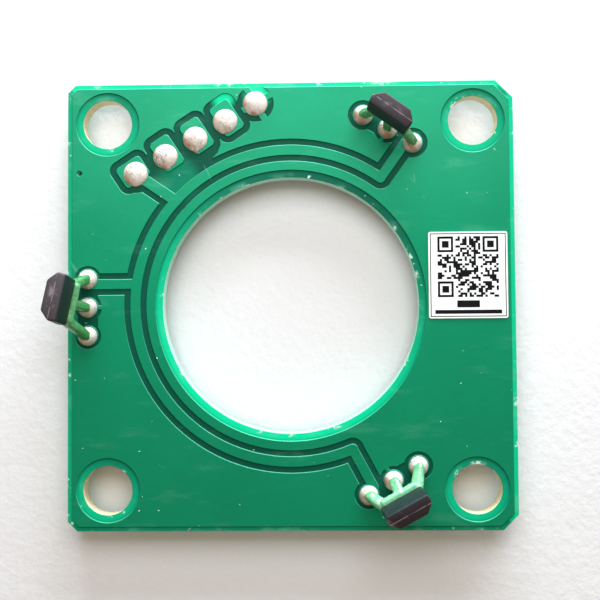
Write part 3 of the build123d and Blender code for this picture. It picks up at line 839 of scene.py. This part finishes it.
def moulding(name, material):
    """Body with its moulded edges rounded and its own axes kept as an attribute for the finish."""
    node = f"sensor_body_{name}"
    centre, axes, _ = body_seat(node)
    bm = node_copy(node)
    hull = bmesh.ops.convex_hull(bm, input=bm.verts, use_existing_faces=False)
    skin = {item for item in hull["geom"] if isinstance(item, bmesh.types.BMFace)}
    bmesh.ops.delete(bm, geom=[f for f in bm.faces if f not in skin], context="FACES")
    bmesh.ops.delete(bm, geom=[v for v in bm.verts if not v.link_faces], context="VERTS")
    bmesh.ops.dissolve_limit(bm, angle_limit=math.radians(2), verts=bm.verts, edges=bm.edges)
    bmesh.ops.recalc_face_normals(bm, faces=bm.faces)
    mesh = settled(plain(bm, node), bevel(body_round, 5, 12), ("TRIANGULATE", {}), smooth_angle=50)
    seat = mesh.attributes.new("in_body", "FLOAT_VECTOR", "POINT")
    for index, vertex in enumerate(mesh.vertices):
        seat.data[index].vector = Vector(axes @ vertex.co / MM) - Vector(centre)
    face_attribute(mesh, "wear_and_light", [body_wear_and_light[name]] * len(mesh.polygons))
    return placed(f"moulding_{name}", mesh, material, "moulded_black", node)


def leg(name, pad, material):
    node = f"sensor_lead_{name}_{pad}"
    bm = node_copy(node)
    mesh = settled(plain(bm, node), bevel(leg_round, 2, 50), smooth_angle=40)
    return placed(f"leg_{name}_{pad}", mesh, material, "tinned_lead", node)


def coat(name, material):
    """Lacquer brushed over the three legs, melted into one soft skin with a lip along the body's foot."""
    centre, axes, size = body_seat(f"sensor_body_{name}")
    foot_level = centre[2] - size[2] / 2
    foot_up = axes[2]
    base = Vector((0, 0, (board_top + coat_start) * MM))
    foot_point = Vector(foot_up) * (foot_level + coat_overlap) * MM
    core = bmesh.new()
    for pad in LEGS:
        bm = node_copy(f"sensor_lead_{name}_{pad}")
        for point, away in ((base, Vector((0, 0, -1))), (foot_point, Vector(foot_up))):
            everything = [*bm.verts, *bm.edges, *bm.faces]
            cut = bmesh.ops.bisect_plane(bm, geom=everything, plane_co=point, plane_no=away, clear_outer=True)
            edges = [e for e in cut["geom_cut"] if isinstance(e, bmesh.types.BMEdge)]
            bmesh.ops.holes_fill(bm, edges=edges)
        core.from_mesh(plain(bm, "bare_leg"))
    swell = coat_thickness[name]
    back, climb, drop = lip_back[name], lip_climb[name], lip_drop[name]
    lip_size = Vector((size[0] / 2 - lip_inset, (lip_front + back) / 2, (climb + drop) / 2))
    lip_size = (lip_size - Vector((swell, swell, swell))) * 2
    lip_size = Vector([max(side, 2.2 * coat_grain) for side in lip_size])
    middle = Vector((centre[0], centre[1] + (lip_front - back) / 2, foot_level + (climb - drop) / 2))
    turned = axes.transposed()
    place = Matrix.Translation(turned @ middle * MM) @ turned.to_4x4()
    bmesh.ops.create_cube(core, size=1.0, matrix=place @ Matrix.Diagonal((*(lip_size * MM), 1)))
    mesh = settled(plain(core, name), ("REMESH", {"mode": "VOXEL", "voxel_size": coat_grain * MM}))
    for vertex, normal in zip(mesh.vertices, [v.normal.copy() for v in mesh.vertices]):
        vertex.co += normal * swell * MM
    mesh = settled(mesh, ("REMESH", {"mode": "VOXEL", "voxel_size": coat_grain * MM}),
                   ("SMOOTH", {"factor": 0.5, "iterations": 6}), smooth_angle=180)
    pale = mesh.attributes.new("thickness_and_light", "FLOAT", "POINT")
    normals = [v.normal.copy() for v in mesh.vertices]
    for index, vertex in enumerate(mesh.vertices):
        below_foot = foot_level - (axes @ vertex.co)[2] / MM
        share = max(0.0, min(1.0, 1.2 - below_foot / pale_reach))
        pale.data[index].value = share * coat_paleness_and_light[name]
        ripple = noise.noise(vertex.co / (ripple_length * MM)) * ripple_depth
        vertex.co += normals[index] * ripple * MM
    return placed(f"coat_{name}", mesh, material, "mint_lacquer", f"lead_lacquer_{name}")


# ---- label
def label_sheet(material):
    bm = node_copy("label")
    upright = [e for e in bm.edges if abs(e.verts[0].co.z - e.verts[1].co.z) > 0.05 * MM
               and (e.verts[0].co.xy - e.verts[1].co.xy).length < HAIR * MM]
    bmesh.ops.bevel(bm, geom=upright, offset=sheet_corner * MM, segments=4, affect="EDGES", profile=0.5)
    mesh = settled(plain(bm, "label_sheet"), bevel(sheet_round, 2, 50))
    return placed("label_sheet", mesh, material, "label_paper", "label")


def print_tree():
    """Ink cells on a random share of the starting points marked as cells, beside the marks drawn in full."""
    tree, desk, given, made = geometry_tree("label_print", cell="Float", share="Float", seed="Int",
                                            ink="Material")
    marked = desk.carried("cell", "BOOLEAN")
    lucky = desk.add("FunctionNodeRandomValue", {"Probability": given["Share"], "Seed": given["Seed"]},
                     data_type="BOOLEAN")
    chosen = desk.add("FunctionNodeBooleanMath", {0: marked, 1: lucky.outputs[3]}, operation="AND").outputs[0]
    square = desk.add("GeometryNodeMeshGrid", {
        "Size X": given["Cell"], "Size Y": given["Cell"], "Vertices X": 2, "Vertices Y": 2})
    cells = desk.add("GeometryNodeInstanceOnPoints", {
        "Points": given["Geometry"], "Selection": chosen, "Instance": square.outputs["Mesh"]})
    loose = desk.add("GeometryNodeDeleteGeometry", {"Geometry": given["Geometry"], "Selection": marked},
                     domain="POINT")
    both = desk.add("GeometryNodeJoinGeometry")
    tree.links.new(loose.outputs[0], both.inputs[0])
    tree.links.new(cells.outputs[0], both.inputs[0])
    real = desk.add("GeometryNodeRealizeInstances", {"Geometry": both.outputs[0]})
    coloured(desk, made, real, given["Ink"])
    return tree


def label_print(material):
    """Generic printed pattern: a frame line, a field of random cells, corner marks and two plain bars."""
    low, high = box_mm("label")
    level = high.z + ink_thickness
    cells_across = 27
    cell = 0.2
    top_margin = 0.42
    frame_margin = 0.14
    frame_line = 0.08
    bar_sizes = ((2.0, 0.62), (5.9, 0.34))
    field_gap = 0.3
    bar_gap = 0.22
    field_half = cells_across * cell / 2
    field_middle = Vector(((low.x + high.x) / 2, high.y - top_margin - field_half))
    vertices, faces, is_cell = [], [], []

    def bar(x0, y0, x1, y1):
        start = len(vertices)
        vertices.extend([(x0, y0, level), (x1, y0, level), (x1, y1, level), (x0, y1, level)])
        is_cell.extend([False] * 4)
        faces.append(tuple(range(start, start + 4)))

    def ring(x0, y0, x1, y1, line):
        bar(x0, y0, x1, y0 + line)
        bar(x0, y1 - line, x1, y1)
        bar(x0, y0 + line, x0 + line, y1 - line)
        bar(x1 - line, y0 + line, x1, y1 - line)

    ring(low.x + frame_margin, low.y + frame_margin, high.x - frame_margin, high.y - frame_margin, frame_line)
    mark = 7 * cell
    dot_half = 1.5 * cell
    corners = []
    for side_x, side_y in ((-1, 1), (1, 1), (-1, -1)):
        x = field_middle.x + side_x * (field_half - mark / 2)
        y = field_middle.y + side_y * (field_half - mark / 2)
        corners.append((x, y))
        ring(x - mark / 2, y - mark / 2, x + mark / 2, y + mark / 2, cell)
        bar(x - dot_half, y - dot_half, x + dot_half, y + dot_half)
    for row in range(cells_across):
        for column in range(cells_across):
            x = field_middle.x + (column - (cells_across - 1) / 2) * cell
            y = field_middle.y + (row - (cells_across - 1) / 2) * cell
            if all(max(abs(x - u), abs(y - v)) > mark / 2 + cell for u, v in corners):
                vertices.append((x, y, level))
                is_cell.append(True)
    bar_top = field_middle.y - field_half - field_gap
    for width, height in bar_sizes:
        bar(field_middle.x - width / 2, bar_top - height, field_middle.x + width / 2, bar_top)
        bar_top -= height + bar_gap
    mesh = bpy.data.meshes.new("label_marks")
    mesh.from_pydata([Vector(v) * MM for v in vertices], [], faces)
    flags = mesh.attributes.new("cell", "BOOLEAN", "POINT")
    flags.data.foreach_set("value", is_cell)
    values = {"Cell": cell * 1.02 * MM, "Share": 0.5, "Seed": 7, "Ink": material}
    made = grown("label_print", mesh, print_tree(), values)
    return placed("label_print", made, material, "label_paper")


# ---- dust
def dust_tree():
    """Flattened specks strewn over the upward faces of the starting mesh."""
    tree, desk, given, made = geometry_tree("strewn_dust", density="Float", size="Float", seed="Int",
                                            dust="Material")
    _, _, upward = desk.split(desk.add("GeometryNodeInputNormal").outputs[0])
    level = desk.math("GREATER_THAN", upward, 0.99)
    strewn = desk.add("GeometryNodeDistributePointsOnFaces", {
        "Mesh": given["Geometry"], "Selection": level, "Density": given["Density"], "Seed": given["Seed"]})
    speck = desk.add("GeometryNodeMeshIcoSphere", {"Radius": given["Size"], "Subdivisions": 1})
    turn = desk.add("FunctionNodeRandomValue", {"Min": (0, 0, 0), "Max": (0, 0, 6.28), "Seed": given["Seed"]},
                    data_type="FLOAT_VECTOR")
    stretch = desk.add("FunctionNodeRandomValue", {
        "Min": (0.5, 0.35, 0.15), "Max": (2.3, 0.8, 0.3), "Seed": desk.plus(given["Seed"], 3.0)},
        data_type="FLOAT_VECTOR")
    flakes = desk.add("GeometryNodeInstanceOnPoints", {
        "Points": strewn.outputs["Points"], "Instance": speck.outputs[0], "Rotation": turn.outputs[0],
        "Scale": stretch.outputs[0]})
    real = desk.add("GeometryNodeRealizeInstances", {"Geometry": flakes.outputs[0]})
    coloured(desk, made, real, given["Dust"])
    return tree


def strewn_dust(skin, material):
    values = {"Density": dust_density / MM ** 2, "Size": dust_size * MM, "Seed": 4, "Dust": material}
    mesh = grown("board_dust", skin.data.copy(), dust_tree(), values)
    return placed("board_dust", mesh, material, "green_lacquer")


# ---- the board
wire_nodes = [f"wire_joint_{index}" for index in range(1, 6)]
second_pad, fourth_pad, last_pad = [middle_mm(wire_nodes[index]) for index in (1, 3, 4)]
# spots by the last two wire pads where the bare laminate gets painted glow
painted_glow_spots = [((last_pad.x + 0.2, last_pad.y + 0.9), 1.6), ((fourth_pad.x - 0.2, fourth_pad.y + 2.3), 1.5)]
chip_spots = [((corner_reach, corner_radius - corner_reach + 0.1), 0.95), ((8.4, half_side - 0.25), 1.6),
              ((opening_radius * 0.99, 2.6), 0.5), ((-17.2, half_side - 0.4), 0.5)]
pocket_spot = (second_pad.x + 1.1, second_pad.y - 2.0)
pitted_spot = Vector((second_pad.x - 0.45, second_pad.y - 0.5, board_top + 0.25))

spots = painted_glow_spots, chip_spots, pocket_spot
lacquer_over = green_lacquer("green_lacquer_over", bare_top, board_top, *spots)
lacquer_beneath = green_lacquer("green_lacquer_beneath", bare_under, board_under, *spots)
skin_over = lacquer_skin("lacquer_over", "solder_mask_top", lacquer_over, bare_top, board_top)
lacquer_skin("lacquer_beneath", "solder_mask_bottom", lacquer_beneath, bare_under, board_under)

solder = satin_solder(pitted_spot)
beads = bead_tree()
solder_row("wire_solder", beads, solder, wire_nodes, radius=1.1, drill=0.5, crown=0.42, foot=0.45,
           sagging=1.25, drips=(0.06, 0.12, 0.19, 0.1, 0.02), seed=1)
solder_row("sensor_solder", beads, solder, [f"sensor_joint_{name}_{pad}" for name in SENSORS for pad in LEGS],
           radius=0.85, drill=0.4, crown=0.72, foot=0.62, sagging=1.0, drips=(0.04, 0.06, 0.02), seed=5)

body_finish = moulded_body()
leg_finish = tinned_leg()
coat_finish = brushed_coat()
for sensor in SENSORS:
    moulding(sensor, body_finish)
    coat(sensor, coat_finish)
    for pad in LEGS:
        leg(sensor, pad, leg_finish)

label_sheet(label_paper())
label_print(label_ink())
strewn_dust(skin_over, dust())

copper_nodes = ["ground_copper", "supply_copper", *(f"signal_copper_{name}" for name in SENSORS)]
chip_nodes = [f"hall_chip_{name}" for name in SENSORS]
for material, nodes in ((cut_laminate(), ["board_laminate"]), (foil_copper(), copper_nodes),
                        (polished_chip(), chip_nodes)):
    for node in nodes:
        for slot in frame["nodes"][node].material_slots:
            slot.material = material

# ---- stage
floor_half = 250 * MM
bpy.ops.mesh.primitive_plane_add(size=2 * floor_half, location=(0, 0, resting_plane))
floor = bpy.context.object
floor.name = "paper_floor"
floor.data.materials.append(floor_paper())


def area_light(name, place, aim, width, depth, watts, colour):
    """Soft light whose place and size are in millimetres."""
    data = bpy.data.lights.new(name, "AREA")
    data.shape = "RECTANGLE"
    data.size = width * MM
    data.size_y = depth * MM
    data.energy = watts
    data.color = colour
    light = linked(name, data)
    light.location = Vector(place) * MM
    light.visible_camera = False
    light.rotation_euler = (Vector(aim) - Vector(place)).to_track_quat("-Z", "Y").to_euler()


area_light("window", place=(72, 396, 82), aim=(0, 0, 0), width=396, depth=158, watts=4.5,
           colour=(0.82, 0.91, 1.0))
area_light("ceiling_lamp", place=(-2, 53, 76), aim=(0, 8, 0), width=100, depth=62, watts=0.073,
           colour=(0.92, 0.96, 1.0))


def soft_room():
    """Warm room light, dimmer straight above, before a pale wall."""
    world = bpy.data.worlds.new("soft_room")
    world.use_nodes = True
    desk = Desk(world.node_tree)
    background = world.node_tree.nodes["Background"]
    _, north, up = desk.split(desk.add("ShaderNodeTexCoord").outputs["Generated"])
    colour = desk.mix((1.0, 0.82, 0.62, 1), (1.0, 0.85, 0.68, 1), desk.step(north, -0.7, 0.7))
    seen = desk.add("ShaderNodeLightPath").outputs["Is Camera Ray"]
    desk.put(background.inputs["Color"], desk.mix(colour, (0.90, 0.89, 0.89, 1), seen))
    strength = desk.step(up, 0.6, 0.95, 0.455, 0.315)
    desk.put(background.inputs["Strength"], desk.most(strength, desk.times(seen, 0.86)))
    return world


bpy.context.scene.world = soft_room()
bpy.context.scene.view_settings.view_transform = "Standard"

focal_length = 49.4
camera_place = Vector((2.303, -1.816, 74.92))
camera_turn = (1.749, 1.155, -0.442)   # degrees
lens_data = bpy.data.cameras.new("overhead")
lens_data.sensor_width = 36
lens_data.lens = focal_length
lens_data.clip_start = 1 * MM
lens_data.clip_end = 2000 * MM
overhead = linked("overhead", lens_data)
overhead.location = camera_place * MM
overhead.rotation_euler = [math.radians(turn) for turn in camera_turn]
bpy.context.scene.camera = overhead
